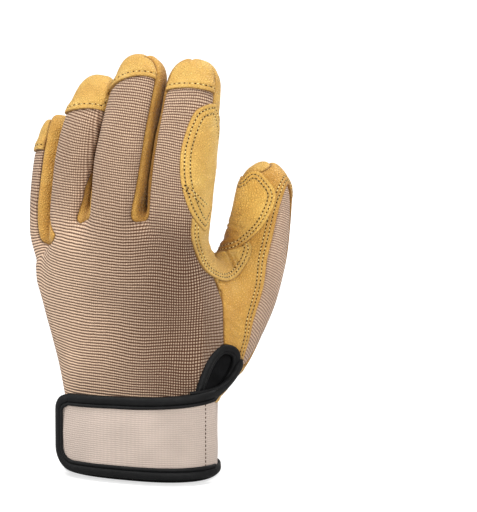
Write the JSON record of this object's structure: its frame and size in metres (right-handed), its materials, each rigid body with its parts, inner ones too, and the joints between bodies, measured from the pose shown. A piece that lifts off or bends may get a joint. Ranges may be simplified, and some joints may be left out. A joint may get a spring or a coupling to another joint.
{
  "type": "rope handling glove",
  "caption": "Left leather rope-handling glove with a ribbed knit back, reinforced palm and thumb crotch, strapped elastic cuff and clip hole.",
  "frame": {"origin": "centre of the wrist opening, in the plane of the cuff's hem", "axes": "+Z along the hand to the fingertips, -Y out of the back of the hand, +X towards the thumb"},
  "size_m": [0.1294, 0.1032, 0.2149],
  "materials": {
    "leather": "golden tan grain leather, semi-matt, stitched in tan and brown",
    "knit": "ribbed stretch knit, beige over brown, matt",
    "elastic": "greige woven elastic with fine horizontal ribs, matt",
    "tape": "charcoal black binding tape and lining, matt"
  },
  "bodies": {
    "root": {"back_knit": "knit", "cuff_band": "elastic", "cuff_tab": "leather", "finger_pad_index": "leather", "finger_pad_little": "leather", "finger_pad_middle": "leather", "finger_pad_ring": "leather", "fourchette_index_middle": "leather", "fourchette_middle_ring": "leather", "fourchette_ring_little": "leather", "hem_binding": "tape", "index_patch": "leather", "palm_heel": "leather", "palm_leather": "leather", "side_strip_index": "leather", "side_strip_little": "leather", "slit_binding": "tape", "slit_lining": "tape", "strap_binding": "tape", "thumb_knit": "knit", "thumb_leather": "leather", "thumb_pad_patch": "leather", "thumb_saddle": "leather", "tip_cap_index": "leather", "tip_cap_little": "leather", "tip_cap_middle": "leather", "tip_cap_ring": "leather", "wrist_strap": "elastic"}
  },
  "joints": []
}
